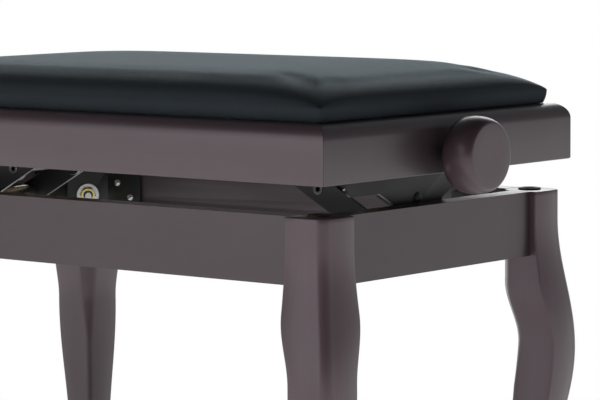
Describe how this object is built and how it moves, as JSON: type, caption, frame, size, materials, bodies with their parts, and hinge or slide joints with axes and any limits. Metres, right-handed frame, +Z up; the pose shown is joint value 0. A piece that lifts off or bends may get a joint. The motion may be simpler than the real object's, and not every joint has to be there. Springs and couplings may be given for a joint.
{
  "type": "piano bench",
  "caption": "Height-adjustable piano bench: velour seat in a mitred wooden rim on a scissor lift worked by a side knob, over an apron frame with curved legs.",
  "frame": {"origin": "floor, under the centre of the bench", "axes": "+X along the bench's length towards the right knob, +Y towards the back, +Z up"},
  "size_m": [0.646, 0.352, 0.4827],
  "materials": {
    "stained_wood": "satin dark mahogany stain under clear lacquer",
    "plywood": "raw plywood",
    "velour": "black short-pile velour",
    "black_steel": "black coated pressed steel",
    "zinc_steel": "bright zinc plate",
    "yellow_zinc": "yellow zinc plate",
    "black_plastic": "moulded black plastic",
    "white_nylon": "natural nylon"
  },
  "bodies": {
    "base": {"leg_front_right": "stained_wood", "leg_front_left": "stained_wood", "leg_back_right": "stained_wood", "leg_back_left": "stained_wood", "apron_front": "stained_wood", "apron_back": "stained_wood", "apron_right": "stained_wood", "apron_left": "stained_wood", "corner_bracket_front_right": "black_steel", "corner_bracket_front_left": "black_steel", "corner_bracket_back_right": "black_steel", "corner_bracket_back_left": "black_steel", "hanger_bolts": "zinc_steel", "hanger_washers": "zinc_steel", "hanger_nuts": "yellow_zinc", "bracket_screws": "zinc_steel", "leg_plugs": "black_plastic", "foot_glides": "black_plastic", "hinge_bracket_right": "black_steel", "hinge_bracket_left": "black_steel", "hinge_bracket_screws": "zinc_steel", "hinge_pin_right": "zinc_steel", "hinge_pin_left": "zinc_steel"},
    "arms_right": {"main_arm_right_front": "black_steel", "main_arm_right_back": "black_steel", "arm_spacer_right": "zinc_steel", "scissor_axle_right": "zinc_steel"},
    "arms_left": {"main_arm_left_front": "black_steel", "main_arm_left_back": "black_steel", "arm_spacer_left": "zinc_steel", "scissor_axle_left": "zinc_steel"},
    "links_right": {"link_right_front": "black_steel", "link_right_back": "black_steel"},
    "links_left": {"link_left_front": "black_steel", "link_left_back": "black_steel"},
    "carriage_right": {"cross_bar_right": "black_steel", "spindle_nut_right": "yellow_zinc"},
    "carriage_left": {"cross_bar_left": "black_steel", "spindle_nut_left": "yellow_zinc"},
    "seat": {"rim_front": "stained_wood", "rim_back": "stained_wood", "rim_right": "stained_wood", "rim_left": "stained_wood", "seat_board": "plywood", "cushion": "velour", "seat_rail_front": "black_steel", "seat_rail_back": "black_steel", "rail_screws": "zinc_steel", "link_pins": "zinc_steel", "end_plate_right": "black_steel", "end_plate_left": "black_steel", "end_plate_screws": "zinc_steel", "tongue_rivets": "black_steel", "spindle_bushes": "white_nylon"},
    "spindle": {"spindle": "zinc_steel", "spindle_collars": "zinc_steel", "knob_right": "stained_wood", "knob_left": "stained_wood"}
  },
  "joints": [
    {"name": "lift", "type": "hinge", "parent": "base", "child": "arms_right", "pos_m": [0.233, 0, 0.3484], "axis": [0, 1, 0], "range_deg": [-8.7, 36.2]},
    {"name": "arms_left_turn", "type": "hinge", "parent": "base", "child": "arms_left", "pos_m": [-0.233, 0, 0.3484], "axis": [0, 1, 0], "range_deg": [-36.2, 8.7]},
    {"name": "links_right_turn", "type": "hinge", "parent": "arms_right", "child": "links_right", "pos_m": [0.17603, 0, 0.3797], "axis": [0, 1, 0], "range_deg": [-72.4, 17.4]},
    {"name": "links_left_turn", "type": "hinge", "parent": "arms_left", "child": "links_left", "pos_m": [-0.17603, 0, 0.3797], "axis": [0, 1, 0], "range_deg": [-17.4, 72.4]},
    {"name": "seat_level", "type": "hinge", "parent": "links_right", "child": "seat", "pos_m": [0.233, 0, 0.411], "axis": [0, 1, 0], "range_deg": [-8.7, 36.2]},
    {"name": "carriage_right_turn", "type": "hinge", "parent": "arms_right", "child": "carriage_right", "pos_m": [0.11906, 0, 0.411], "axis": [0, 1, 0], "range_deg": [-36.2, 8.7]},
    {"name": "carriage_left_turn", "type": "hinge", "parent": "arms_left", "child": "carriage_left", "pos_m": [-0.11906, 0, 0.411], "axis": [0, 1, 0], "range_deg": [-8.7, 36.2]},
    {"name": "spindle_turn", "type": "hinge", "parent": "seat", "child": "spindle", "pos_m": [0, 0, 0.411], "axis": [1, 0, 0], "range_deg": [-3909.6, 939.6]}
  ],
  "couplings": [
    {"joint": "arms_left_turn", "follows": "lift", "ratio": -1},
    {"joint": "links_right_turn", "follows": "lift", "ratio": -2},
    {"joint": "links_left_turn", "follows": "lift", "ratio": 2},
    {"joint": "seat_level", "follows": "lift", "ratio": 1},
    {"joint": "carriage_right_turn", "follows": "lift", "ratio": -1},
    {"joint": "carriage_left_turn", "follows": "lift", "ratio": 1},
    {"joint": "spindle_turn", "follows": "lift", "ratio": -108}
  ]
}
